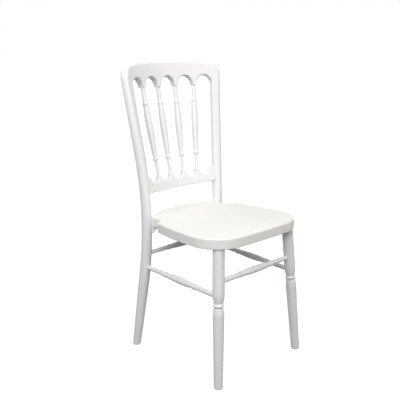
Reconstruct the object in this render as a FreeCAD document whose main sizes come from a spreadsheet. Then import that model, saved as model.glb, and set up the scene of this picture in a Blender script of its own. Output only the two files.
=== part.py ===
import FreeCAD, Part
import math
import os
import re
import Sketcher
from FreeCAD import Placement, Rotation, Vector

# A painted wooden side chair: bent rear posts, a raked and curved back of turned spindles under an
# arched crest rail, a solid seat, turned front legs and four turned stretchers.
# The front of the chair looks along -Y, +Z is up, and left means -X.

doc = FreeCAD.newDocument("SideChair")
sheet = doc.addObject("Spreadsheet::Sheet", "Sizes")

DRIVING_SIZES = [
    # seat panel
    ("seat_height", 443.2),
    ("seat_middle_y", -32.85),
    ("seat_fall_angle", 1.66),
    ("seat_width", 388.0),
    ("seat_depth", 403.5),
    ("seat_thickness", 32.0),
    ("seat_front_bow", 2.0),
    ("seat_corner", 97.0),
    ("seat_top_round", 5.0),
    ("seat_under_round", 3.0),
    ("shoulder_out", 19.0),
    ("shoulder_ahead", 79.0),
    ("shoulder_round", 4.0),
    ("notch_ahead", 53.0),
    ("notch_in", 15.0),
    ("notch_round", 4.0),
    ("lug_in", 8.5),
    ("lug_ahead", 13.9),
    ("lug_bite", 6.0),
    ("lug_turn_angle", 20.0),
    # front legs
    ("leg_inset_side", 47.0),
    ("leg_inset_front", 45.0),
    ("leg_splay_side_angle", 3.74),
    ("leg_splay_front_angle", 4.25),
    ("leg_dia", 34.5),
    ("leg_lower_dia", 33.0),
    ("leg_foot_dia", 26.5),
    ("leg_neck_dia", 26.5),
    ("leg_bead_dia", 32.5),
    ("leg_bead_height", 250.6),
    ("leg_bead_width", 10.5),
    ("leg_groove", 5.5),
    ("leg_cup", 16.5),
    ("leg_flare", 32.0),
    ("leg_swell", 0.9),
    ("leg_tenon_dia", 22.0),
    ("leg_housing", 4.0),
    ("leg_tenon_cover", 8.0),
    ("foot_round", 3.0),
    # rear posts
    ("post_foot_dia", 26.0),
    ("post_low_dia", 34.5),
    ("post_seat_dia", 33.0),
    ("post_top_width", 31.0),
    ("post_bend_drop", 9.2),
    ("post_bend_run", 210.0),
    ("post_splay_side_angle", 5.74),
    ("post_splay_back_angle", 4.75),
    # back frame
    ("back_setback", 26.1),
    ("back_rake_angle", 9.9),
    ("back_radius", 445.0),
    ("back_half_low", 161.0),
    ("back_half_top", 189.0),
    ("back_thickness", 26.0),
    ("back_outer_round", 11.0),
    ("back_inner_round", 5.0),
    # crest rail
    ("crest_bottom", 396.7),
    ("crest_height", 81.8),
    ("crest_flat_half", 35.0),
    ("crest_crown_radius", 680.0),
    ("crest_corner", 40.0),
    ("arch_rise", 31.8),
    ("arch_drop", 1.0),
    ("cusp_width", 14.0),
    # lower back rail
    ("rail_bottom", 65.0),
    ("rail_top", 114.0),
    ("rail_thickness", 20.0),
    ("rail_housing", 8.0),
    ("rail_ear", 13.0),
    ("rail_cusp_width", 12.0),
    ("scallop_depth", 19.0),
    # spindles
    ("spindle_top_dia", 13.0),
    ("spindle_neck_dia", 15.5),
    ("spindle_swell_dia", 21.5),
    ("spindle_waist_dia", 13.5),
    ("spindle_low_dia", 10.5),
    ("spindle_bead_dia", 18.5),
    ("spindle_bead_width", 12.0),
    ("spindle_low_bead_share", 0.194),
    ("spindle_swell_share", 0.58),
    ("spindle_top_bead_share", 0.818),
    ("spindle_tenon_dia", 8.0),
    ("spindle_tenon", 16.0),
    # stretchers
    ("side_stretcher_height", 273.9),
    ("front_stretcher_height", 316.7),
    ("rear_stretcher_height", 317.1),
    ("stretcher_end_dia", 14.0),
    ("stretcher_waist_dia", 14.5),
    ("stretcher_swell_dia", 20.5),
    ("stretcher_ring_dia", 19.0),
    ("stretcher_ring_width", 6.5),
    ("stretcher_ring_spacing", 130.0),
    ("stretcher_tip_gap", 3.0),
    # dowels, corner blocks and screws
    ("crest_dowel_dia", 12.0),
    ("crest_dowel_length", 66.0),
    ("seat_dowel_dia", 8.0),
    ("seat_dowel_length", 44.0),
    ("dowel_chamfer", 1.0),
    ("block_reach", 18.0),
    ("block_drop", 22.0),
    ("block_width", 18.0),
    ("block_toe", 3.5),
    ("screw_offset", 4.0),
    ("screw_along", 8.5),
    ("screw_down", 11.0),
    ("screw_head_dia", 7.5),
    ("screw_shank_dia", 4.0),
    ("screw_length", 22.0),
    # fits
    ("glue_gap", 0.1),
    ("post_gap", 0.4),
    ("socket_spare", 1.0),
]


def fill_sheet():
    """Writes every driving size into its own named cell."""
    for row, (name, value) in enumerate(DRIVING_SIZES, start=1):
        sheet.set(f"A{row}", name)
        sheet.set(f"B{row}", str(value))
        sheet.setAlias(f"B{row}", name)
    doc.recompute()


fill_sheet()
cell_names = [name for name, value in DRIVING_SIZES]


def derive(name, value):
    """Keeps a worked-out length, or a formula, in a cell of its own, for features to be bound to."""
    row = len(cell_names) + 1
    sheet.set(f"A{row}", name)
    sheet.set(f"B{row}", str(value))
    sheet.setAlias(f"B{row}", name)
    cell_names.append(name)
    doc.recompute()


def number(expression):
    """The value of an expression written in cell names."""
    return float(sheet.evalExpression(expression))


def bound(expression):
    """The same expression as other objects have to write it."""
    def prefix(match):
        word = match.group()
        return "Sizes." + word if word in cell_names else word
    return re.sub(r"[A-Za-z_]\w*", prefix, expression)


def bind(item, prop, expression):
    item.setExpression(prop, bound(expression))


# Sketches and features


def new_body(name, placement):
    body = doc.addObject("PartDesign::Body", name)
    body.Label = name
    body.Placement = placement
    return body


def new_sketch(body, name, role, offset=Placement()):
    """A sketch on one of the body's own planes, moved from it by offset."""
    sketch = body.newObject("Sketcher::SketchObject", name)
    plane = [item for item in body.Origin.OriginFeatures if item.Role == role][0]
    sketch.AttachmentSupport = (plane, [""])
    sketch.MapMode = "FlatFace"
    sketch.AttachmentOffset = offset
    return sketch


def pin_point(sketch, shape, point, x, y):
    """Ties a sketch point's two coordinates to expressions."""
    for kind, axis, expression in (("DistanceX", -2, x), ("DistanceY", -1, y)):
        if expression is None:
            continue
        if expression == "0":
            sketch.addConstraint(Sketcher.Constraint("PointOnObject", shape, point, axis))
            continue
        value = number(expression)
        place = sketch.addConstraint(Sketcher.Constraint(kind, -1, 1, shape, point, value))
        bind(sketch, f"Constraints[{place}]", expression)


def draw(sketch, nodes):
    """A closed outline through nodes of (x, y, bulge).

    The bulge is how far the run to the next node bows out to the left of the way it goes:
    None is a straight line, anything else an arc with that rise over its chord.
    """
    points = [Vector(number(x), number(y), 0) for x, y, bulge in nodes]
    heads = []
    tails = []
    shapes = []
    for place, (x, y, bulge) in enumerate(nodes):
        start = points[place]
        end = points[(place + 1) % len(nodes)]
        if bulge is None:
            shapes.append(sketch.addGeometry(Part.LineSegment(start, end), False))
            clockwise = False
        else:
            run = end - start
            left = Vector(-run.y, run.x, 0).normalize()
            middle = (start + end) * 0.5 + left * number(bulge)
            clockwise = number(bulge) > 0
            arc = Part.Arc(end, middle, start) if clockwise else Part.Arc(start, middle, end)
            shapes.append(sketch.addGeometry(arc, False))
        heads.append(2 if clockwise else 1)
        tails.append(1 if clockwise else 2)
    for place, (x, y, bulge) in enumerate(nodes):
        following = (place + 1) % len(nodes)
        sketch.addConstraint(Sketcher.Constraint("Coincident", shapes[place], tails[place],
                                                 shapes[following], heads[following]))
    for place, (x, y, bulge) in enumerate(nodes):
        pin_point(sketch, shapes[place], heads[place], x, y)
        if bulge is not None:
            next_x, next_y, next_bulge = nodes[(place + 1) % len(nodes)]
            pin_centre(sketch, shapes[place], (x, y), (next_x, next_y), bulge)


def pin_centre(sketch, shape, start, end, bulge):
    """Ties an arc's centre to its two ends and its rise."""
    run_x = f"(({end[0]}) - ({start[0]}))"
    run_y = f"(({end[1]}) - ({start[1]}))"
    chord = f"sqrt({run_x}^2 + {run_y}^2)"
    reach = f"((({bulge})^2 - {chord}^2 / 4) / (2 * ({bulge})) / {chord})"
    if abs(number(run_x)) > abs(number(run_y)):
        pin_point(sketch, shape, 3, None, f"(({start[1]}) + ({end[1]})) / 2 + {run_x} * {reach}")
    else:
        pin_point(sketch, shape, 3, f"(({start[0]}) + ({end[0]})) / 2 - {run_y} * {reach}", None)


def revolve(body, sketch, angle=None):
    """Turns a sketch about its own upright axis, right round or evenly to both sides."""
    turned = body.newObject("PartDesign::Revolution", body.Name + "_turned")
    turned.Profile = sketch
    turned.ReferenceAxis = (sketch, ["V_Axis"])
    if angle is None:
        turned.Angle = 360
    else:
        turned.Midplane = True
        bind(turned, "Angle", angle)
    doc.recompute()
    return turned


def pocket(body, sketch):
    """Cuts a sketch right through, and makes sure that it took something away."""
    before = body.Tip.Shape.Volume
    cut = body.newObject("PartDesign::Pocket", sketch.Name + "_cut")
    cut.Profile = sketch
    cut.Type = "ThroughAll"
    doc.recompute()
    if cut.Shape.Volume > before - 1:
        cut.Reversed = True
        doc.recompute()
    return cut


def round_edges(body, name, test, radius):
    """Rounds every edge of the body so far that passes the test."""
    base = body.Tip
    chosen = [f"Edge{place}" for place, edge in enumerate(base.Shape.Edges, start=1) if test(edge)]
    rounded = body.newObject("PartDesign::Fillet", name)
    rounded.Base = (base, chosen)
    bind(rounded, "Radius", radius)
    doc.recompute()
    return rounded


def bore(body, name, placement, radius, depth):
    """A round socket in the body, with its mouth at the placement and running along its Z."""
    hole = body.newObject("PartDesign::SubtractiveCylinder", name)
    hole.Placement = body.Placement.inverse() * placement
    bind(hole, "Radius", radius)
    bind(hole, "Height", depth)
    doc.recompute()
    return hole


def trim(body, name, placement, length, width, height):
    """Cuts a box away, centred on the placement in X and Y and standing on it."""
    box = body.newObject("PartDesign::SubtractiveBox", name)
    shift = Vector(-number(length) / 2, -number(width) / 2, 0)
    box.Placement = body.Placement.inverse() * placement * Placement(shift, Rotation())
    bind(box, "Length", length)
    bind(box, "Width", width)
    bind(box, "Height", height)
    doc.recompute()
    return box


def along(start, direction):
    """A placement at start whose Z runs along the direction."""
    return Placement(start, Rotation(Vector(0, 0, 1), direction))


def degrees(name):
    return math.radians(number(name))


# The skeleton: where the seat, the legs, the posts and the back lie

derive("post_bend_height", "=seat_height - post_bend_drop")
derive("crest_top", "=crest_bottom + crest_height")

seat = Placement(Vector(0, number("seat_middle_y"), number("seat_height")),
                 Rotation(Vector(1, 0, 0), -number("seat_fall_angle")))
seat_normal = seat.Rotation * Vector(0, 0, 1)
floor_turn = Rotation(Vector(1, 0, 0), 180)

leg_at_seat = seat * Vector(number("leg_inset_side - seat_width / 2"),
                            number("leg_inset_front - seat_depth / 2"), 0)
leg_down = Vector(-math.tan(degrees("leg_splay_side_angle")), -math.tan(degrees("leg_splay_front_angle")), -1)
leg_foot = leg_at_seat + leg_down * leg_at_seat.z
leg_up = (leg_at_seat - leg_foot).normalize()

back_radius = number("back_radius")
back_turn = Rotation(Vector(1, 0, 0), -number("back_rake_angle"))
back_middle = Vector(0, number("seat_middle_y + seat_depth / 2 - back_setback"), number("seat_height"))
back = Placement(back_middle - back_turn * Vector(0, back_radius, 0), back_turn)


def on_back(reach, height):
    """A point on the back's middle surface, by the arc length from the middle and the height up it."""
    angle = reach / back_radius
    return back * Vector(back_radius * math.sin(angle), back_radius * math.cos(angle), height)


def back_facing(reach):
    """The turn about the back's own axis, in degrees, at an arc length from the middle."""
    return math.degrees(reach / back_radius)


def post_reach(height):
    """The arc length from the middle of the back to a post's centre."""
    share = (height - number("rail_top")) / number("crest_bottom - rail_top")
    return number("back_half_low") + share * number("back_half_top - back_half_low")


post_low = on_back(-number("back_half_low"), number("rail_top"))
post_joint = on_back(-number("back_half_top"), number("crest_bottom"))
post_up = (post_joint - post_low).normalize()
bend = post_low + post_up * ((number("post_bend_height") - post_low.z) / post_up.z)
post_slant = Vector(-math.tan(degrees("post_splay_side_angle")),
                    math.tan(degrees("post_splay_back_angle")), -1)
post_foot = bend + post_slant * bend.z
post_down = (post_foot - bend).normalize()
bend_start = bend + post_down * number("post_bend_run")
bend_end = bend + post_up * number("post_bend_run")
bend_turn = math.acos(-post_down.dot(post_up))
bend_radius = number("post_bend_run") / math.tan(bend_turn / 2)
bend_inward = (post_up + post_down).normalize()
bend_centre = bend + bend_inward * (bend_radius / math.cos(bend_turn / 2))


def on_bend(share):
    """A point on the bend of the left post and the way the post runs there, share 0 to 1 going up."""
    turn = bend_turn * share
    across = (bend_start - bend_centre).normalize()
    ahead = -post_down
    point = bend_centre + (across * math.cos(turn) + ahead * math.sin(turn)) * bend_radius
    return point, ahead * math.cos(turn) - across * math.sin(turn)


def on_post(height):
    """The left post's centre at a height above the floor, and the way the post runs there."""
    if height <= bend_start.z:
        return bend_start + post_down * ((height - bend_start.z) / post_down.z), -post_down
    if height >= bend_end.z:
        return bend_end + post_up * ((height - bend_end.z) / post_up.z), post_up
    low = 0.0
    high = 1.0
    for step in range(50):
        share = (low + high) / 2
        if on_bend(share)[0].z < height:
            low = share
        else:
            high = share
    return on_bend(low)


def on_leg(height):
    """The left front leg's axis at a height above the floor."""
    return leg_foot + leg_up * (height / leg_up.z)


# Where the post passes the middle of the seat's thickness, in the seat's own frame
post_at_seat, post_way = on_post(seat.Base.z - number("seat_thickness") / 2)
for pass_again in range(4):
    above = seat.inverse() * post_at_seat
    post_at_seat, post_way = on_post(post_at_seat.z - above.z - number("seat_thickness") / 2)
post_in_seat = seat.inverse() * post_at_seat
derive("post_x", post_in_seat.x)
derive("post_y", post_in_seat.y)

# The seat's rear edge is an arc that bites into the posts; its centre lies on the middle line
rear_reach = number("seat_depth / 2 + post_seat_dia / 2 - lug_bite")
post_off = math.hypot(post_in_seat.x, post_in_seat.y)
rear_centre = (rear_reach ** 2 - post_off ** 2) / (2 * (rear_reach - post_in_seat.y))
corner_way = Vector(-post_in_seat.x, rear_centre - post_in_seat.y, 0).normalize()
rear_radius = number("seat_depth / 2") - rear_centre
derive("rear_end_x", -corner_way.x * rear_radius)
derive("rear_end_y", rear_centre - corner_way.y * rear_radius)
derive("lug_run", "=sqrt((post_x + lug_in - rear_end_x)^2 + (post_y - lug_ahead - rear_end_y)^2)")

# Lengths that follow from the skeleton
leg_reach = (leg_at_seat - leg_foot).Length
derive("leg_shoulder", leg_reach - number("seat_thickness - leg_housing"))
derive("leg_end", leg_reach - number("leg_tenon_cover"))

side_front = on_leg(number("side_stretcher_height"))
side_rear = on_post(number("side_stretcher_height"))[0]
front_left = on_leg(number("front_stretcher_height"))
rear_left = on_post(number("rear_stretcher_height"))[0]
derive("side_stretcher_length", (side_front - side_rear).Length)
derive("front_stretcher_length", -2 * front_left.x)
derive("rear_stretcher_length", -2 * rear_left.x)

derive("crest_angle", 2 * back_facing(number("back_half_top + post_top_width")))
derive("arch_span", "=(2 * back_half_top - post_top_width - 4 * cusp_width) / 5")
rail_reach = post_reach(number("(rail_bottom + rail_top) / 2")) - number("post_seat_dia / 2 - rail_housing")
derive("rail_angle", 2 * back_facing(rail_reach))
derive("scallop_span", "=(2 * back_half_low - post_seat_dia - 2 * rail_ear - 4 * rail_cusp_width) / 5")


def spindle_ends(pitches):
    """The lower and upper joint of a left-hand spindle, by how many bay pitches it stands from the middle."""
    low = on_back(-pitches * number("scallop_span + rail_cusp_width"), number("rail_top"))
    high = on_back(-pitches * number("arch_span + cusp_width"), number("crest_bottom"))
    return low, high


# The spindles stand half a pitch from the middle, and a whole pitch from there on
spindle_pitches = {name: place + 0.5 for place, name in enumerate(("inner", "outer"))}
for place, pitches in spindle_pitches.items():
    low, high = spindle_ends(pitches)
    derive(f"{place}_spindle_length", (high - low).Length)


def find_crest_corner():
    """Finds the round corner that touches both the crown of the crest and the post's outer side."""
    half_top = number("back_half_top")
    low_x = back_radius * math.sin((number("back_half_low") - half_top) / back_radius)
    lean = -low_x / number("crest_bottom - rail_top")
    flat_x = -back_radius * math.sin((half_top - number("crest_flat_half")) / back_radius)
    crown = number("crest_crown_radius")
    corner = number("crest_corner")
    crown_y = number("crest_top") - crown
    slope = math.hypot(1, lean)
    side_x = number("post_top_width / 2") - corner * slope - lean * number("crest_bottom") - flat_x
    quad = 1 + lean ** 2
    half = lean * side_x - crown_y
    rest = side_x ** 2 + crown_y ** 2 - (crown - corner) ** 2
    centre_y = (-half + math.sqrt(half ** 2 - quad * rest)) / quad
    centre_x = flat_x + side_x + lean * centre_y
    out = Vector(centre_x - flat_x, centre_y - crown_y, 0).normalize()
    derive("crown_start", flat_x)
    derive("crown_end_x", centre_x + out.x * corner)
    derive("crown_end_y", centre_y + out.y * corner)
    derive("crown_rise", crown * (1 - math.cos(math.atan2(out.x, out.y) / 2)))
    derive("corner_end_x", centre_x + corner / slope)
    derive("corner_end_y", centre_y - corner * lean / slope)
    turn = math.atan2(1, -lean) - math.atan2(out.x, out.y)
    derive("corner_rise", corner * (1 - math.cos(turn / 2)))


find_crest_corner()


# Turned pieces


def turned_body(name, placement, nodes):
    """A turned piece: half its outline, given from the bottom up, spun about its own Z.

    Here a node's third entry is how far the run to the next node swells outwards.
    """
    body = new_body(name, placement)
    sketch = new_sketch(body, name + "_outline", "XZ_Plane")
    bottom = ("0", nodes[0][1], None)
    top = ("0", nodes[-1][1], None)
    outline = [(x, y, swell and f"-1 * ({swell})") for x, y, swell in nodes]
    draw(sketch, [bottom] + outline + [top])
    revolve(body, sketch)
    return body


def mirrored(source, name):
    """The right-hand twin of a left-hand piece."""
    twin = doc.addObject("Part::Mirroring", name)
    twin.Label = name
    twin.Source = source
    twin.Normal = Vector(1, 0, 0)
    twin.Base = Vector(0, 0, 0)
    doc.recompute()
    return twin


def make_front_leg():
    """A front leg: tapered foot, bead between two hollows, plain shaft and a round tenon."""
    bead_low = "(leg_bead_height - leg_bead_width / 2)"
    bead_high = "(leg_bead_height + leg_bead_width / 2)"
    neck = "leg_neck_dia / 2"
    nodes = [
        ("leg_foot_dia / 2", "-4 * foot_round", None),
        ("leg_lower_dia / 2", f"{bead_low} - leg_flare", "leg_swell"),
        ("leg_lower_dia / 2 - 2 * leg_swell", f"{bead_low} - 1.6 * leg_groove", "leg_swell"),
        (neck, f"{bead_low} - leg_groove", None),
        (neck, bead_low, "(leg_bead_dia - leg_neck_dia) / 2"),
        (neck, bead_high, None),
        (neck, f"{bead_high} + leg_groove / 2", "leg_swell / 2"),
        ("leg_dia / 2 - leg_swell", f"{bead_high} + leg_cup", "leg_swell / 2"),
        ("leg_dia / 2", f"{bead_high} + leg_flare", None),
        ("leg_dia / 2", "leg_shoulder", None),
        ("leg_tenon_dia / 2", "leg_shoulder", None),
        ("leg_tenon_dia / 2", "leg_end", None),
    ]
    body = turned_body("front_leg_left", along(leg_foot, leg_up), nodes)
    under = Placement(Vector(leg_foot.x, leg_foot.y, 0), floor_turn)
    trim(body, "leg_floor", under, "4 * leg_dia", "4 * leg_dia", "4 * leg_dia")
    round_edges(body, "leg_foot_edge", on_floor(body), "foot_round")
    return body


def on_floor(body):
    """A test for edges of the body that lie flat on the floor."""
    def test(edge):
        return all((body.Placement * vertex.Point).z < 0.01 for vertex in edge.Vertexes)
    return test


def make_stretcher(name, length_name, start, end):
    """A turned stretcher between two legs' axes: plain ends, two rings and a swelling between."""
    way = (end - start).normalize()
    first = start + way * number("stretcher_tip_gap")
    length = f"({length_name} - 2 * stretcher_tip_gap)"
    middle = f"({length} / 2)"
    low_ring = f"({middle} - stretcher_ring_spacing / 2)"
    high_ring = f"({middle} + stretcher_ring_spacing / 2)"
    waist = "stretcher_waist_dia / 2"
    half_ring = "stretcher_ring_width / 2"
    swell = "(stretcher_swell_dia - stretcher_waist_dia) / 8"
    ring = "(stretcher_ring_dia - stretcher_waist_dia) / 2"
    nodes = [
        ("stretcher_end_dia / 2", "0", None),
        (waist, f"{low_ring} - {half_ring}", ring),
        (waist, f"{low_ring} + {half_ring}", swell),
        ("stretcher_swell_dia / 2", middle, swell),
        (waist, f"{high_ring} - {half_ring}", ring),
        (waist, f"{high_ring} + {half_ring}", None),
        ("stretcher_end_dia / 2", length, None),
    ]
    return turned_body(name, along(first, way), nodes)


def stretcher_socket(body, name, axis_point, way):
    """The blind hole in a leg for a stretcher that leaves the leg's axis along the way."""
    mouth = axis_point + way * number("2 * leg_dia")
    bore(body, name, along(mouth, -way), "stretcher_end_dia / 2 + glue_gap",
         "2 * leg_dia - stretcher_tip_gap + socket_spare")


def make_spindle(name, length, low, high):
    """A back spindle between two cusps: thin foot, bead, vase, bead and plain neck, with tenons."""
    way = (high - low).normalize()
    spare = "(spindle_top_dia / 4)"
    low_bead = f"({length} * spindle_low_bead_share)"
    top_bead = f"({length} * spindle_top_bead_share)"
    half = "spindle_bead_width / 2"
    nodes = [
        ("spindle_low_dia / 2", f"(-1 * {spare})", None),
        ("spindle_low_dia / 2", f"{low_bead} - {half}",
         "(2 * spindle_bead_dia - spindle_low_dia - spindle_waist_dia) / 4"),
        ("spindle_waist_dia / 2", f"{low_bead} + {half}", "(spindle_swell_dia - spindle_waist_dia) / 10"),
        ("spindle_swell_dia / 2", f"{length} * spindle_swell_share",
         "(spindle_swell_dia - spindle_neck_dia) / 8"),
        ("spindle_neck_dia / 2", f"{top_bead} - {half}",
         "(2 * spindle_bead_dia - spindle_neck_dia - spindle_top_dia) / 4"),
        ("spindle_top_dia / 2", f"{top_bead} + {half}", None),
        ("spindle_top_dia / 2", f"{length} + {spare}", None),
    ]
    body = turned_body(name, along(low, way), nodes)
    wide = "4 * spindle_top_dia"
    trim(body, name + "_head", Placement(high, back_turn), wide, wide, "spindle_tenon")
    trim(body, name + "_foot", Placement(low, back_turn * floor_turn), wide, wide, "spindle_tenon")
    for end, start in (("low", "-1 * spindle_tenon"), ("top", f"{length} - spindle_tenon")):
        tenon = body.newObject("PartDesign::AdditiveCylinder", f"{name}_{end}_tenon")
        tenon.Placement = Placement(Vector(0, 0, number(start)), Rotation())
        bind(tenon, "Radius", "spindle_tenon_dia / 2")
        bind(tenon, "Height", "2 * spindle_tenon")
    doc.recompute()
    return body


def make_dowel(name, middle, way, diameter, length):
    """A chamfered dowel whose middle lies at a joint."""
    start = middle - way * number(f"{length} / 2")
    nodes = [
        (f"{diameter} / 2 - dowel_chamfer", "0", None),
        (f"{diameter} / 2", "dowel_chamfer", None),
        (f"{diameter} / 2", f"{length} - dowel_chamfer", None),
        (f"{diameter} / 2 - dowel_chamfer", length, None),
    ]
    return turned_body(name, along(start, way), nodes)


def dowel_socket(body, name, middle, way, diameter, length):
    """One half of a dowel's hole, running from the joint along the way."""
    bore(body, name, along(middle - way * number(f"{diameter}"), way), f"{diameter} / 2 + glue_gap",
         f"{length} / 2 + socket_spare + {diameter}")


def make_screw(name, head, way):
    """A countersunk wood screw with its head's face at head, driven along the way."""
    nodes = [
        ("screw_head_dia / 2", "0", None),
        ("screw_shank_dia / 2", "(screw_head_dia - screw_shank_dia) / 2", None),
        ("screw_shank_dia / 2", "screw_length - screw_shank_dia", None),
        ("screw_shank_dia / 8", "screw_length", None),
    ]
    return turned_body(name, along(head, way), nodes)


def screw_hole(body, name, head, way):
    """The hole for a screw's shank."""
    bore(body, name, along(head, way), "screw_shank_dia / 2 + glue_gap", "screw_length + socket_spare")


def screw_head_hole(body, name, head, way):
    """The counterbore that lets a screw's head in, open outwards."""
    bore(body, name, along(head - way * number("block_drop"), way), "screw_head_dia / 2 + glue_gap",
         "block_drop + (screw_head_dia - screw_shank_dia) / 2")


# Rear posts


def post_section(body, name, point, way, width, depth, outer, inner):
    """A rounded cross-section of the left post, its X pointing away from the middle of the chair."""
    facing = math.radians(back_facing(-number("back_half_top")))
    outward = back_turn * Vector(-math.cos(facing), math.sin(facing), 0)
    turn = Rotation(outward, Vector(), way, "ZXY")
    sketch = new_sketch(body, name, "XY_Plane", Placement(point - body.Placement.Base, turn))
    half_w = f"({width}) / 2"
    half_d = f"({depth}) / 2"
    outer_bulge = f"-({outer}) * (1 - cos(45))"
    inner_bulge = f"-({inner}) * (1 - cos(45))"
    draw(sketch, [
        (f"{inner} - {half_w}", f"-{half_d}", None),
        (f"{half_w} - {outer}", f"-{half_d}", outer_bulge),
        (half_w, f"{outer} - {half_d}", None),
        (half_w, f"{half_d} - {outer}", outer_bulge),
        (f"{half_w} - {outer}", half_d, None),
        (f"{inner} - {half_w}", half_d, inner_bulge),
        (f"-{half_w}", f"{half_d} - {inner}", None),
        (f"-{half_w}", f"{inner} - {half_d}", inner_bulge),
    ])
    return sketch


# A round section's corner radius over its width; just under a half leaves four hair-thin flats
ROUND_SHARE = 0.485


def round_section(body, name, point, way, diameter):
    """A cross-section of the post where it is round, but for four hair-thin flats."""
    corner = f"({ROUND_SHARE} * ({diameter}))"
    return post_section(body, name, point, way, diameter, diameter, corner, corner)


def blended_section(body, name, point, way, share):
    """A cross-section between the round post at the seat (0) and the crest rail's end (1)."""
    width = f"(post_seat_dia + (post_top_width - post_seat_dia) * {share})"
    depth = f"(post_seat_dia + (back_thickness - post_seat_dia) * {share})"
    outer = f"({ROUND_SHARE} * post_seat_dia * {1 - share} + back_outer_round * {share})"
    inner = f"({ROUND_SHARE} * post_seat_dia * {1 - share} + back_inner_round * {share})"
    return post_section(body, name, point, way, width, depth, outer, inner)


# How far the post has gone from round (0) to flat-faced (1), just over the seat and where its bend ends
SQUARED_OVER_SEAT = 0.2
SQUARED_AT_BEND_END = 0.5


def make_rear_post():
    """The left rear post: one bent length, round below the seat and flat-faced at the crest."""
    body = new_body("rear_post_left", Placement(bend, Rotation()))
    below = post_foot + post_down * number("post_foot_dia / 2")
    above = post_joint + post_up * number("post_top_width / 2")
    sections = []
    for place in range(4):
        share = place / 4
        point = below + (bend_start - below) * share
        diameter = f"(post_foot_dia + (post_low_dia - post_foot_dia) * {share})"
        sections.append(round_section(body, f"post_shin_{place}", point, -post_down, diameter))
    for place in range(3):
        share = place / 4
        diameter = f"(post_low_dia + (post_seat_dia - post_low_dia) * {2 * share})"
        sections.append(round_section(body, f"post_knee_{place}", *on_bend(share), diameter))
    sections.append(blended_section(body, "post_over_seat", *on_bend(0.75), SQUARED_OVER_SEAT))
    for place in range(5):
        share = place / 4
        point = bend_end + (above - bend_end) * share
        squared = SQUARED_AT_BEND_END + (1 - SQUARED_AT_BEND_END) * share
        sections.append(blended_section(body, f"post_upper_{place}", point, post_up, squared))
    loft = body.newObject("PartDesign::AdditiveLoft", "post_loft")
    loft.Profile = sections[0]
    loft.Sections = sections[1:]
    doc.recompute()
    joint_plane = Placement(post_joint, back_turn)
    trim(body, "post_top_trim", joint_plane, "3 * post_top_width", "3 * post_top_width", "3 * post_top_width")
    under = Placement(Vector(post_foot.x, post_foot.y, 0), floor_turn)
    trim(body, "post_floor", under, "4 * post_foot_dia", "4 * post_foot_dia", "4 * post_foot_dia")
    round_edges(body, "post_foot_edge", on_floor(body), "foot_round")
    return body


# The curved rails of the back


def curved_blank(body, thickness, low, high, angle):
    """A curved board: a rectangle swung about the back's axis, evenly to both sides."""
    sketch = new_sketch(body, body.Name + "_blank", "YZ_Plane")
    inside = f"back_radius - {thickness} / 2"
    outside = f"back_radius + {thickness} / 2"
    draw(sketch, [(inside, low, None), (outside, low, None), (outside, high, None), (inside, high, None)])
    return revolve(body, sketch, angle)


def facing_sketch(body, name, reach):
    """A sketch square to the back's surface at an arc length from the middle."""
    turn = Placement(Vector(), Rotation(Vector(0, 1, 0), -back_facing(reach)))
    return new_sketch(body, name, "XZ_Plane", turn)


def cut_bay(body, name, reach, span, edge, rise, beyond):
    """Cuts one round-ended bay into a rail's edge; rise is its depth, beyond runs off the rail."""
    sketch = facing_sketch(body, name, reach)
    draw(sketch, [
        (f"-{span} / 2", edge, rise),
        (f"{span} / 2", edge, None),
        (f"{span} / 2", beyond, None),
        (f"-{span} / 2", beyond, None),
    ])
    return pocket(body, sketch)


def make_crest_rail():
    """The crest rail: a curved board with rounded top corners and five arches under it."""
    body = new_body("crest_rail", back)
    curved_blank(body, "back_thickness", "crest_bottom", "crest_top", "crest_angle")
    for side, name in ((-1, "left"), (1, "right")):
        cut_crest_corner(body, side, name)
    for place in range(-2, 3):
        rise = f"(arch_rise - arch_drop * {place * place})"
        cut_bay(body, f"arch_{place + 3}", place * number("arch_span + cusp_width"), "arch_span",
                "crest_bottom", rise, "(crest_bottom - cusp_width)")
    round_edges(body, "crest_outer_edge", crest_outer, "back_outer_round")
    round_edges(body, "crest_arch_edge", crest_inner, "back_inner_round")
    return body


def cut_crest_corner(body, side, name):
    """Cuts away what lies outside the crest's crown, its corner and the line of the post's outer side."""
    sketch = facing_sketch(body, "crest_corner_" + name, side * number("back_half_top"))
    sign = "" if side > 0 else "-1 * "
    beyond = "(crest_top + crest_corner)"
    under = "(crest_bottom - cusp_width)"
    lean = "((corner_end_x - post_top_width / 2) / (corner_end_y - crest_bottom))"
    nodes = [
        ("crown_start", "crest_top", "crown_rise"),
        ("crown_end_x", "crown_end_y", "corner_rise"),
        ("corner_end_x", "corner_end_y", None),
        (f"(post_top_width / 2 - cusp_width * {lean})", under, None),
        ("(2 * crest_corner)", under, None),
        ("(2 * crest_corner)", beyond, None),
        ("crown_start", beyond, None),
    ]
    draw(sketch, [(sign + x, y, bulge and sign + bulge) for x, y, bulge in nodes])
    pocket(body, sketch)


def across_face(edge):
    """The middle of an edge that lies on a crest face, as arc length and height; None for any other."""
    ends = [vertex.Point for vertex in edge.Vertexes]
    middle = edge.valueAt((edge.FirstParameter + edge.LastParameter) / 2)
    off = number("back_thickness / 2")
    for point in ends + [middle]:
        if abs(abs(math.hypot(point.x, point.y) - back_radius) - off) > 0.01:
            return None
    flat = max(abs(point.z - number("crest_bottom")) for point in ends + [middle])
    if flat < 0.01 or abs(math.hypot(ends[0].x, ends[0].y) - math.hypot(ends[-1].x, ends[-1].y)) > 1:
        return None
    return back_radius * math.atan2(middle.x, middle.y), middle.z


def on_crest_rim(place):
    """True for a place outside the arches: beyond a post's centre line, or above the arches."""
    over_arches = number("crest_bottom + arch_rise + cusp_width / 2")
    return abs(place[0]) > number("back_half_top") or place[1] > over_arches


def crest_outer(edge):
    place = across_face(edge)
    return place is not None and on_crest_rim(place)


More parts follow.
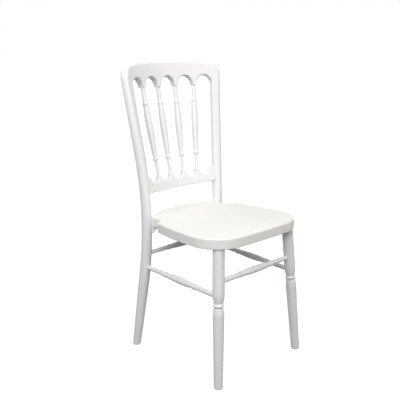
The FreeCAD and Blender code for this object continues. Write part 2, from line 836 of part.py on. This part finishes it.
def crest_inner(edge):
    place = across_face(edge)
    return place is not None and not on_crest_rim(place)


# The most that an edge's round may take of the flat on a cusp, as a share of its width
CUSP_SHARE = 0.42


def make_lower_rail():
    """The lower back rail: a curved board with five scallops and an ear at each end."""
    body = new_body("lower_back_rail", back)
    curved_blank(body, "rail_thickness", "rail_bottom", "rail_top", "rail_angle")
    for place in range(-2, 3):
        cut_bay(body, f"scallop_{place + 3}", place * number("scallop_span + rail_cusp_width"),
                "scallop_span", "rail_top", "(-1 * scallop_depth)", "(rail_top + rail_cusp_width)")
    round_edges(body, "rail_edge", rail_long_edge, f"min(back_inner_round; {CUSP_SHARE} * rail_cusp_width)")
    return body


def rail_long_edge(edge):
    """True for the rail's bottom edges and the edges of its scallops."""
    ends = [vertex.Point for vertex in edge.Vertexes]
    middle = edge.valueAt((edge.FirstParameter + edge.LastParameter) / 2)
    off = number("rail_thickness / 2")
    for point in ends + [middle]:
        if abs(abs(math.hypot(point.x, point.y) - back_radius) - off) > 0.01:
            return False
    if abs(math.hypot(ends[0].x, ends[0].y) - math.hypot(ends[-1].x, ends[-1].y)) > 1:
        return False
    upright = max(abs(point.z - middle.z) for point in ends) > 1
    reach = abs(back_radius * math.atan2(middle.x, middle.y))
    scallop = upright and reach < number("back_half_low - post_seat_dia / 2")
    return scallop or middle.z < number("rail_bottom") + 0.01


# Seat panel and corner blocks


# The most that a rim's round may take of the lug's run inside the post, as a share of it
LUG_SHARE = 0.88


def make_seat():
    """The seat panel: a flat board with a bowed front, a lug against each post and a round rear edge."""
    body = new_body("seat_panel", seat)
    sketch = new_sketch(body, "seat_outline", "XY_Plane")
    front = "(seat_front_bow - seat_depth / 2)"
    quarter = "(seat_corner * (1 - cos(45)))"
    half = "(seat_width / 2)"
    shoulder_x = "(post_x - shoulder_out)"
    bow = f"({half} + {shoulder_x}) / 4"
    left_side = [
        (f"(seat_corner - {half})", front, quarter),
        (f"(-1 * {half})", f"({front} + seat_corner)", bow),
        (shoulder_x, "(post_y - shoulder_ahead)", None),
        ("(post_x + notch_in)", "(post_y - notch_ahead)", None),
        ("(post_x + lug_in)", "(post_y - lug_ahead)", None),
        ("rear_end_x", "rear_end_y", "(seat_depth / 2 - rear_end_y)"),
    ]
    right_side = [(f"(-1 * {x})", y, None) for x, y, bulge in reversed(left_side)]
    bulges = [None, None, None, bow, quarter, "seat_front_bow"]
    right_side = [(x, y, bulge) for (x, y, old), bulge in zip(right_side, bulges)]
    draw(sketch, left_side + right_side)
    pad = body.newObject("PartDesign::Pad", "seat_board")
    pad.Profile = sketch
    pad.Reversed = True
    bind(pad, "Length", "seat_thickness")
    doc.recompute()
    round_edges(body, "seat_shoulders", upright_at("post_x - shoulder_out", "post_y - shoulder_ahead"),
                "shoulder_round")
    round_edges(body, "seat_notches", upright_at("post_x + notch_in", "post_y - notch_ahead"), "notch_round")
    for name, level, radius in (("seat_top_edge", "0", "seat_top_round"),
                                ("seat_under_edge", "-1 * seat_thickness", "seat_under_round")):
        round_edges(body, name, rim_edge(level), f"min({radius}; {LUG_SHARE} * lug_run)")
    return body


def upright_at(x, y):
    """A test for the two upright edges at a place on the left and its twin on the right."""
    def test(edge):
        ends = [vertex.Point for vertex in edge.Vertexes]
        return all(math.hypot(abs(point.x) - abs(number(x)), point.y - number(y)) < 0.01 for point in ends)
    return test


def rim_edge(level):
    """A test for the seat's outline edges at a level, leaving out the run inside the post."""
    def test(edge):
        ends = [vertex.Point for vertex in edge.Vertexes]
        if any(abs(point.z - number(level)) > 0.01 for point in ends):
            return False
        middle = edge.valueAt((edge.FirstParameter + edge.LastParameter) / 2)
        gap = math.hypot(abs(middle.x) - abs(number("post_x")), middle.y - number("post_y"))
        return gap > number("post_seat_dia / 2")
    return test


def seat_cuts(body):
    """Sockets for the front legs and hollows for the posts, on both sides."""
    for side, name in ((1, "left"), (-1, "right")):
        leg_start = flip(leg_at_seat - leg_up * number("3 * seat_thickness"), side)
        leg_way = flip(leg_up, side)
        bore(body, "leg_housing_" + name, along(leg_start, leg_way), "leg_dia / 2 + glue_gap",
             "2 * seat_thickness + leg_housing")
        bore(body, "leg_socket_" + name, along(leg_start, leg_way), "leg_tenon_dia / 2 + glue_gap",
             "3 * seat_thickness - leg_tenon_cover + socket_spare")
        way = flip(post_way, side)
        start = flip(post_at_seat, side) - way * number("2 * seat_thickness")
        bore(body, "post_hollow_" + name, along(start, way), "post_seat_dia / 2 + post_gap",
             "4 * seat_thickness")


def flip(vector, side):
    """A vector as it is, or mirrored to the right-hand side where side is -1."""
    return Vector(vector.x * side, vector.y, vector.z)


joint_way = Rotation(Vector(0, 0, 1), number("lug_turn_angle")) * corner_way
corner_frame = Placement(seat * Vector(post_in_seat.x, post_in_seat.y, -number("seat_thickness")),
                         seat.Rotation * Rotation(Vector(1, 0, 0), joint_way))
into_seat = seat.Rotation * joint_way


def make_corner_block():
    """The left corner block: a knee between the post and the underside of the seat."""
    body = new_body("corner_block_left", corner_frame)
    sketch = new_sketch(body, "block_outline", "XZ_Plane")
    back_x = "(post_seat_dia / 4)"
    front_x = "(post_seat_dia / 2 + block_reach)"
    draw(sketch, [
        (back_x, "(-1 * block_drop)", None),
        ("(post_seat_dia / 2 + block_toe)", "(-1 * block_drop)", None),
        (front_x, "(-1 * block_toe)", None),
        (front_x, "0", None),
        (back_x, "0", None),
    ])
    pad = body.newObject("PartDesign::Pad", "block_board")
    pad.Profile = sketch
    pad.Midplane = True
    bind(pad, "Length", "block_width")
    doc.recompute()
    start = post_at_seat - post_way * number("4 * seat_thickness")
    bore(body, "block_hollow", along(start, post_way), "post_low_dia / 2 + post_gap", "6 * seat_thickness")
    return body


def screw_lines():
    """Where the left block's two screws start and which way they run: up into the seat, and into the post."""
    slope = number("(block_drop - block_toe) / (block_reach - block_toe)")
    along_x = number("post_seat_dia / 2 + screw_along")
    face_z = -number("block_toe") - slope * number("block_reach - screw_along")
    up_head = corner_frame * Vector(along_x, number("screw_offset"), face_z + number("screw_head_dia / 2"))
    face_x = number("post_seat_dia / 2 + block_reach") - (number("screw_down") - number("block_toe")) / slope
    in_head = corner_frame * Vector(face_x - number("screw_head_dia / 2"), -number("screw_offset"),
                                    -number("screw_down"))
    return ((up_head, seat_normal), (in_head, -into_seat))


def group(name, pieces):
    """One node for several alike, separate pieces."""
    node = doc.addObject("Part::Compound", name)
    node.Label = name
    node.Links = pieces
    doc.recompute()
    return node


def build():
    """Makes every piece, cuts the joints between them and returns the finished nodes."""
    leg = make_front_leg()
    post = make_rear_post()
    crest = make_crest_rail()
    rail = make_lower_rail()
    seat_panel = make_seat()
    seat_cuts(seat_panel)
    block = make_corner_block()

    side_stretcher = make_stretcher("side_stretcher_left", "side_stretcher_length", side_rear, side_front)
    front_stretcher = make_stretcher("front_stretcher", "front_stretcher_length", front_left,
                                     flip(front_left, -1))
    rear_stretcher = make_stretcher("rear_stretcher", "rear_stretcher_length", rear_left,
                                    flip(rear_left, -1))
    side_way = (side_front - side_rear).normalize()
    stretcher_socket(leg, "leg_side_socket", side_front, -side_way)
    stretcher_socket(leg, "leg_front_socket", front_left, Vector(1, 0, 0))
    stretcher_socket(post, "post_side_socket", side_rear, side_way)
    stretcher_socket(post, "post_rear_socket", rear_left, Vector(1, 0, 0))

    spindles = []
    for place, pitches in spindle_pitches.items():
        low, high = spindle_ends(pitches)
        spindles.append(make_spindle(f"back_spindle_{place}_left", f"{place}_spindle_length", low, high))
        for side, side_name in ((1, "left"), (-1, "right")):
            way = flip((high - low).normalize(), side)
            tag = f"{place}_{side_name}"
            bore(crest, "crest_socket_" + tag, along(flip(high, side) - way * number("spindle_tenon"), way),
                 "spindle_tenon_dia / 2 + glue_gap", "2 * spindle_tenon + socket_spare")
            bore(rail, "rail_socket_" + tag, along(flip(low, side) + way * number("spindle_tenon"), -way),
                 "spindle_tenon_dia / 2 + glue_gap", "2 * spindle_tenon + socket_spare")

    crest_dowel = make_dowel("crest_dowel_left", post_joint, post_up, "crest_dowel_dia", "crest_dowel_length")
    dowel_socket(post, "post_dowel_socket", post_joint, -post_up, "crest_dowel_dia", "crest_dowel_length")
    for side, name in ((1, "left"), (-1, "right")):
        dowel_socket(crest, "crest_dowel_socket_" + name, flip(post_joint, side), flip(post_up, side),
                     "crest_dowel_dia", "crest_dowel_length")

    turn = back_turn * Rotation(Vector(0, 0, 1), -back_facing(-rail_reach))
    outward = turn * Vector(-1, 0, 0)
    housing = Placement(on_back(-rail_reach, number("rail_bottom - glue_gap"))
                        - outward * number("post_low_dia / 2 - glue_gap"), turn)
    trim(post, "rail_housing_cut", housing, "post_low_dia", "rail_thickness + 2 * glue_gap",
         "rail_top - rail_bottom + 2 * glue_gap")

    seat_joint = post_at_seat + into_seat * number("post_seat_dia / 2")
    seat_dowel = make_dowel("seat_dowel_left", seat_joint, into_seat, "seat_dowel_dia", "seat_dowel_length")
    dowel_socket(post, "post_seat_socket", seat_joint, -into_seat, "seat_dowel_dia", "seat_dowel_length")
    for side, name in ((1, "left"), (-1, "right")):
        dowel_socket(seat_panel, "seat_dowel_socket_" + name, flip(seat_joint, side), flip(into_seat, side),
                     "seat_dowel_dia", "seat_dowel_length")

    screws = []
    for (head, way), target, name in zip(screw_lines(), (seat_panel, post), ("up", "in")):
        screws.append(make_screw("block_screw_" + name, head, way))
        screw_head_hole(block, "block_head_hole_" + name, head, way)
        screw_hole(block, "block_screw_hole_" + name, head, way)
        screw_hole(target, "screw_hole_" + name, head, way)
        if target is seat_panel:
            screw_hole(target, "screw_hole_" + name + "_right", flip(head, -1), flip(way, -1))

    spindle_twins = [mirrored(spindle, f"back_spindle_{place}_right")
                     for spindle, place in zip(spindles, spindle_pitches)]
    screw_twins = [mirrored(screw, screw.Name + "_right") for screw in screws]
    return [
        post, mirrored(post, "rear_post_right"), crest, rail, *spindles, *spindle_twins, seat_panel,
        leg, mirrored(leg, "front_leg_right"), front_stretcher, rear_stretcher,
        side_stretcher, mirrored(side_stretcher, "side_stretcher_right"),
        block, mirrored(block, "corner_block_right"),
        group("crest_dowels", [crest_dowel, mirrored(crest_dowel, "crest_dowel_right")]),
        group("seat_dowels", [seat_dowel, mirrored(seat_dowel, "seat_dowel_right")]),
        group("corner_block_screws", screws + screw_twins),
    ]


nodes = build()
doc.recompute()
for item in doc.Objects:
    if "Invalid" in item.State or "Error" in item.State:
        raise RuntimeError(f"{item.Label} did not build: {item.State}")
os.makedirs("parts", exist_ok=True)
for node in nodes:
    if node.Shape.isNull() or not node.Shape.isValid():
        raise RuntimeError(f"{node.Label} is not a valid solid")
    node.Shape.exportStep(f"parts/{node.Label}.step")
    box = node.Shape.optimalBoundingBox(False, False)
    print(f"{node.Label}: {len(node.Shape.Solids)} solid, {node.Shape.Volume / 1000:.1f} cm3, "
          f"x {box.XMin:.1f} {box.XMax:.1f} y {box.YMin:.1f} {box.YMax:.1f} z {box.ZMin:.1f} {box.ZMax:.1f}")
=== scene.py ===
# %% [markdown]
# This lesson dresses a painted wooden side chair. The chair itself, every leg, rail, spindle and
# stretcher, comes from the CAD model and is already the right shape, so nothing is modelled twice:
# we load it, give each piece the finish it has on the real chair, light it and point a camera at it.

# %% Load the chair
import math

import bpy
import numpy as np
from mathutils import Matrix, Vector

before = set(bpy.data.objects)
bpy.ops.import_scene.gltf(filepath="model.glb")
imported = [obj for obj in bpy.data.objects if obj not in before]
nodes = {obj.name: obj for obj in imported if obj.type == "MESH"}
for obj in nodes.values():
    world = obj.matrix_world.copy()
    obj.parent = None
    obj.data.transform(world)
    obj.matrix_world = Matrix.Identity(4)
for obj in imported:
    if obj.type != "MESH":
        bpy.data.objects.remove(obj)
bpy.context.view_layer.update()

# %% [markdown]
# Paint makers give colours as hex codes, which are sRGB. Shaders work in linear light, so one small
# function turns a hex code into the numbers a shader wants. A second one adds a shader node: its
# settings are given by name, its inputs either as values or as another node's output.

# %% Colours and shader nodes
MM = 0.001


def linear(code):
    """An sRGB hex code as linear red, green, blue and alpha: the standard sRGB curve, undone."""
    parts = [int(code[place:place + 2], 16) / 255 for place in (1, 3, 5)]
    return [v / 12.92 if v <= 0.04045 else ((v + 0.055) / 1.055) ** 2.4 for v in parts] + [1.0]


def add(tree, kind, inputs=None, **settings):
    """Adds one node to a tree, sets its properties, and fills or links its inputs by name or number."""
    node = tree.nodes.new(kind)
    for name, value in settings.items():
        setattr(node, name, value)
    for key, value in (inputs or {}).items():
        if isinstance(value, bpy.types.NodeSocket):
            tree.links.new(value, node.inputs[key])
        else:
            node.inputs[key].default_value = value
    return node


def new_material(name):
    """An empty material and its node tree."""
    material = bpy.data.materials.new(name)
    material.use_nodes = True
    material.node_tree.nodes.clear()
    return material, material.node_tree


print("mid grey #808080 is", round(linear("#808080")[0], 3), "in linear light")

# %% [markdown]
# The chair is beech under white satin paint, sprayed in two thin coats. Up close such a film is not
# one flat white: it is a touch warmer where it lies thick, the gloss wanders, and the grain of the
# wood still telegraphs through as faint lines along each piece. A smooth noise does the first two. The
# grain is a second noise stretched along the way the wood runs, and only lifts the surface a little.

# %% White satin paint on beech
CLOUD_SIZE = 90 * MM      # how far apart thick and thin patches of paint lie
CLOUD_DETAIL = 3.0        # finer patches within each patch
GRAIN_LENGTH = 70 * MM    # how long a grain line runs
GRAIN_WIDTH = 2.2 * MM    # drawn about twice as wide as the flecks of beech, so that it shows at all
GRAIN_DETAIL = 2.0
GRAIN_LIFT = 0.05 * MM    # how far the grain stands proud under the paint
GRAIN_SHOW = 0.35         # the paint fills most of it
PAINT_IOR = 1.5
PAINT_SHINE = 0.35        # a half is full gloss paint; satin has matting powder in it
SMOOTHEST = 0.42
ROUGHEST = 0.54
MIX_COLOURS = (6, 7)      # a Mix node has sockets for numbers first; these are the two for colours
MIX_RESULT = 2            # and this is its mixed colour
ALONG_X, ALONG_Y, ALONG_Z = range(3)


def satin_paint(name, thin, thick, grain_axis):
    """Satin paint over wood whose grain runs along one axis."""
    material, tree = new_material(name)
    place = add(tree, "ShaderNodeTexCoord").outputs["Object"]
    clouds = add(tree, "ShaderNodeTexNoise",
                 {"Vector": place, "Scale": 1 / CLOUD_SIZE, "Detail": CLOUD_DETAIL})
    stretch = [1 / GRAIN_WIDTH] * 3
    stretch[grain_axis] = 1 / GRAIN_LENGTH
    along = add(tree, "ShaderNodeMapping", {"Vector": place, "Scale": stretch})
    grain = add(tree, "ShaderNodeTexNoise",
                {"Vector": along.outputs["Vector"], "Scale": 1.0, "Detail": GRAIN_DETAIL})
    first, second = MIX_COLOURS
    colour = add(tree, "ShaderNodeMix",
                 {"Factor": clouds.outputs["Fac"], first: linear(thin), second: linear(thick)},
                 data_type="RGBA")
    gloss = add(tree, "ShaderNodeMapRange",
                {"Value": clouds.outputs["Fac"], "To Min": SMOOTHEST, "To Max": ROUGHEST})
    lift = add(tree, "ShaderNodeBump",
               {"Height": grain.outputs["Fac"], "Strength": GRAIN_SHOW, "Distance": GRAIN_LIFT})
    shader = add(tree, "ShaderNodeBsdfPrincipled",
                 {"Base Color": colour.outputs[MIX_RESULT], "Roughness": gloss.outputs["Result"],
                  "Normal": lift.outputs["Normal"], "IOR": PAINT_IOR, "Specular IOR Level": PAINT_SHINE})
    add(tree, "ShaderNodeOutputMaterial", {"Surface": shader.outputs["BSDF"]})
    return material


print(f"grain lines {GRAIN_WIDTH / MM:.1f} mm wide and {GRAIN_LENGTH / MM:.0f} mm long")

# %% [markdown]
# The wood of each piece runs along its length, so the frame paint is made three times, once for each
# way the grain can lie. The seat has the same paint, a shade creamier and lighter, with its boards
# running from front to back.

# %% Paint the frame and the seat
FRAME_THIN = "#f0eff1"
FRAME_THICK = "#f5f4f3"
SEAT_THIN = "#f3f2ee"
SEAT_THICK = "#f6f4f0"

frame_paint = [satin_paint("white_satin_paint_" + axis, FRAME_THIN, FRAME_THICK, number)
               for number, axis in enumerate("xyz")]
seat_paint = satin_paint("warm_white_satin_paint", SEAT_THIN, SEAT_THICK, ALONG_Y)


def paint(name, material):
    """Puts a material in every slot of one CAD piece."""
    for slot in nodes[name].material_slots:
        slot.material = material


lying_across = ["crest_rail", "lower_back_rail", "front_stretcher", "rear_stretcher"]
front_to_back = ["side_stretcher_left", "side_stretcher_right"]
inner_pieces = ["crest_dowels", "seat_dowels", "corner_block_screws"]
for name in nodes:
    if name in lying_across:
        paint(name, frame_paint[ALONG_X])
    elif name in front_to_back:
        paint(name, frame_paint[ALONG_Y])
    elif name not in inner_pieces:
        paint(name, frame_paint[ALONG_Z])
paint("seat_panel", seat_paint)
print("painted", len(nodes) - len(inner_pieces), "pieces")

# %% [markdown]
# The dowels inside the joints were never painted. Bare beech is a pinkish tan, with darker growth lines
# a few millimetres apart and short dark flecks, so a banded wave gives the rings and a noise bends them.

# %% Bare beech dowels
BEECH_LIGHT = "#d9b78c"
BEECH_DARK = "#b98f62"
BEECH_ROUGHNESS = 0.6
RING_SPACING = 3 * MM
RING_BEND = 4.0
RING_DETAIL = 2.0
BANDS_PER_UNIT = 10 / math.pi    # a wave texture of scale 1 has about this many bands in a metre


def bare_beech(name):
    """Unpainted beech: bands of growth rings, bent by a noise."""
    material, tree = new_material(name)
    place = add(tree, "ShaderNodeTexCoord").outputs["Object"]
    rings = add(tree, "ShaderNodeTexWave", {"Vector": place, "Scale": 1 / RING_SPACING / BANDS_PER_UNIT,
                                            "Distortion": RING_BEND, "Detail": RING_DETAIL})
    colour = add(tree, "ShaderNodeValToRGB", {"Fac": rings.outputs["Fac"]})
    colour.color_ramp.elements[0].color = linear(BEECH_DARK)
    colour.color_ramp.elements[1].color = linear(BEECH_LIGHT)
    shader = add(tree, "ShaderNodeBsdfPrincipled",
                 {"Base Color": colour.outputs["Color"], "Roughness": BEECH_ROUGHNESS})
    add(tree, "ShaderNodeOutputMaterial", {"Surface": shader.outputs["BSDF"]})
    return material


beech = bare_beech("bare_beech")
paint("crest_dowels", beech)
paint("seat_dowels", beech)
print(f"dowels of bare beech, rings {RING_SPACING / MM:.0f} mm apart")

# %% [markdown]
# The wood screws under the seat are zinc-plated steel. The plating is a dull silver whose gloss is
# broken up by a fine crystal pattern, so a small noise drives the roughness.

# %% Zinc-plated screws
ZINC = "#b9bcbf"
CRYSTAL_SIZE = 0.6 * MM
BRIGHT_CRYSTAL = 0.25
DULL_CRYSTAL = 0.5


def zinc_plate(name):
    """Zinc plating on steel: a metal whose roughness wanders from crystal to crystal."""
    material, tree = new_material(name)
    place = add(tree, "ShaderNodeTexCoord").outputs["Object"]
    crystals = add(tree, "ShaderNodeTexNoise", {"Vector": place, "Scale": 1 / CRYSTAL_SIZE})
    gloss = add(tree, "ShaderNodeMapRange",
                {"Value": crystals.outputs["Fac"], "To Min": BRIGHT_CRYSTAL, "To Max": DULL_CRYSTAL})
    shader = add(tree, "ShaderNodeBsdfPrincipled", {"Base Color": linear(ZINC), "Metallic": 1.0,
                                                    "Roughness": gloss.outputs["Result"]})
    add(tree, "ShaderNodeOutputMaterial", {"Surface": shader.outputs["BSDF"]})
    return material


paint("corner_block_screws", zinc_plate("zinc_plated_steel"))
print(f"screws plated, crystals {CRYSTAL_SIZE / MM:.1f} mm across")

# %% [markdown]
# A product photograph is taken on a white sweep. Here a wide floor stands in for it. To the camera it
# is almost white by itself and takes a little of the light as well, which keeps the chair's soft
# shadow; further out it whitens, so that no horizon shows. To the light that bounces off it, it is a
# mid grey, so that the undersides stay darker.

# %% Floor
FLOOR_HALF = 30.0
FLOOR_GREY = "#74716a"
FLOOR_GLOW = 0.9          # how white the floor is by itself at the chair
FLOOR_SHADE = 0.3         # how much of the light on it, and so of the shadow, it takes as well
GLOW_START = 0.7          # metres from the middle of the chair where it begins to whiten
GLOW_END = 2.0            # and where it is quite white


def seen_directly(tree):
    """One where a ray comes from the camera, or by way of gloss or glass, and nought for diffuse light."""
    ray = add(tree, "ShaderNodeLightPath")
    two = add(tree, "ShaderNodeMath", {0: ray.outputs["Is Camera Ray"], 1: ray.outputs["Is Glossy Ray"]},
              operation="ADD")
    return add(tree, "ShaderNodeMath", {0: two.outputs[0], 1: ray.outputs["Is Transmission Ray"]},
               operation="ADD", use_clamp=True).outputs[0]


def white_sweep(name):
    """A floor that the camera sees as white with the shadow on it, and that bounces light as a grey."""
    material, tree = new_material(name)
    place = add(tree, "ShaderNodeTexCoord").outputs["Object"]
    away = add(tree, "ShaderNodeVectorMath", {0: place}, operation="LENGTH")
    whiten = add(tree, "ShaderNodeMapRange",
                 {"Value": away.outputs["Value"], "From Min": GLOW_START, "From Max": GLOW_END,
                  "To Min": FLOOR_GLOW, "To Max": 1.0})
    glow = add(tree, "ShaderNodeEmission", {"Color": (1, 1, 1, 1), "Strength": whiten.outputs["Result"]})
    shade = add(tree, "ShaderNodeBsdfDiffuse", {"Color": (FLOOR_SHADE, FLOOR_SHADE, FLOOR_SHADE, 1)})
    both = add(tree, "ShaderNodeAddShader", {0: glow.outputs[0], 1: shade.outputs[0]})
    grey = add(tree, "ShaderNodeBsdfDiffuse", {"Color": linear(FLOOR_GREY)})
    mixed = add(tree, "ShaderNodeMixShader",
                {0: seen_directly(tree), 1: grey.outputs[0], 2: both.outputs[0]})
    add(tree, "ShaderNodeOutputMaterial", {"Surface": mixed.outputs[0]})
    return material


corners = np.array([(-1, -1, 0), (1, -1, 0), (1, 1, 0), (-1, 1, 0)]) * FLOOR_HALF
floor_mesh = bpy.data.meshes.new("floor")
floor_mesh.from_pydata(corners.tolist(), [], [(0, 1, 2, 3)])
floor = bpy.data.objects.new("floor", floor_mesh)
bpy.context.collection.objects.link(floor)
floor_mesh.materials.append(white_sweep("white_sweep"))
print(f"floor {2 * FLOOR_HALF:.0f} m wide")

# %% [markdown]
# The light is that of a small studio. A key softbox stands high up beside the camera and another hangs
# over the front of the chair. Weaker ones to the right and left show how round the legs are, and one
# behind keeps the back as white as the front. That one is hidden from glossy rays, because the satin
# seat would mirror it towards the camera. The rest is an even fill, a little towards blue-green, which
# is most of what reaches the stretchers under the seat. The fill is the world's background, which the
# camera itself sees as plain white.

# %% World and softboxes
FILL_COLOUR = "#e3fcff"
FILL = 0.27
SEAT_MIDDLE = Vector((0.0, 0.0, 0.45))


def lit_world():
    """A background that is white to the camera and a weaker, cooler fill to everything else."""
    world = bpy.data.worlds.new("studio")
    world.use_nodes = True
    tree = world.node_tree
    tree.nodes.clear()
    fill = add(tree, "ShaderNodeBackground", {"Color": linear(FILL_COLOUR), "Strength": FILL})
    white = add(tree, "ShaderNodeBackground", {"Color": (1, 1, 1, 1), "Strength": 1.0})
    mixed = add(tree, "ShaderNodeMixShader",
                {0: seen_directly(tree), 1: fill.outputs[0], 2: white.outputs[0]})
    add(tree, "ShaderNodeOutputWorld", {"Surface": mixed.outputs[0]})
    return world


def softbox(name, place, size, power, colour):
    """A square area lamp at a place, turned towards the middle of the seat."""
    lamp = bpy.data.lights.new(name, "AREA")
    lamp.size = size
    lamp.energy = power
    lamp.color = linear(colour)[:3]
    box = bpy.data.objects.new(name, lamp)
    box.location = place
    box.rotation_euler = (SEAT_MIDDLE - Vector(place)).to_track_quat("-Z", "Y").to_euler()
    bpy.context.collection.objects.link(box)
    return box


bpy.context.scene.world = lit_world()

# each softbox has its name, its place and width in metres, its power in watts and its tint
lamps = [
    softbox("key_beside_camera", (-1.6, -1.7, 2.0), 1.0, 31.0, "#ebf0fc"),
    softbox("over_the_front", (-0.5, -0.8, 2.4), 1.0, 12.0, "#fdfff5"),
    softbox("front_right", (1.2, -2.0, 2.0), 1.0, 16.0, "#ffe7d5"),
    softbox("left", (-1.25, -0.2, 1.6), 0.7, 8.5, "#feeeed"),
]
behind = softbox("behind", (0.4, 2.2, 0.8), 1.2, 24.0, "#fffafa")
behind.visible_glossy = False
lamps.append(behind)
print(len(lamps), "softboxes,", round(sum(box.data.energy for box in lamps)), "W in all")

# %% [markdown]
# The camera stands in front of the chair and to its left, a little above the crest rail, and looks down
# at it by about fifteen degrees. Its focal length is for a square picture on a 36 mm wide sensor, and the
# tiny sideways shift is all that the framing needs.

# %% Camera
CAMERA_PLACE = (-1.2532, -1.3169, 0.9670)
CAMERA_TILT = 75.322
CAMERA_TURN = -42.481
CAMERA_LENS = 53.58
CAMERA_SENSOR = 36.0
CAMERA_SHIFT = 0.002

lens = bpy.data.cameras.new("camera")
lens.sensor_width = CAMERA_SENSOR
lens.lens = CAMERA_LENS
lens.shift_x = CAMERA_SHIFT
camera = bpy.data.objects.new("camera", lens)
camera.location = CAMERA_PLACE
camera.rotation_euler = (math.radians(CAMERA_TILT), 0.0, math.radians(CAMERA_TURN))
bpy.context.collection.objects.link(camera)
bpy.context.scene.camera = camera
bpy.context.scene.view_settings.view_transform = "Standard"
print(f"camera {(camera.location - SEAT_MIDDLE).length:.2f} m from the seat")
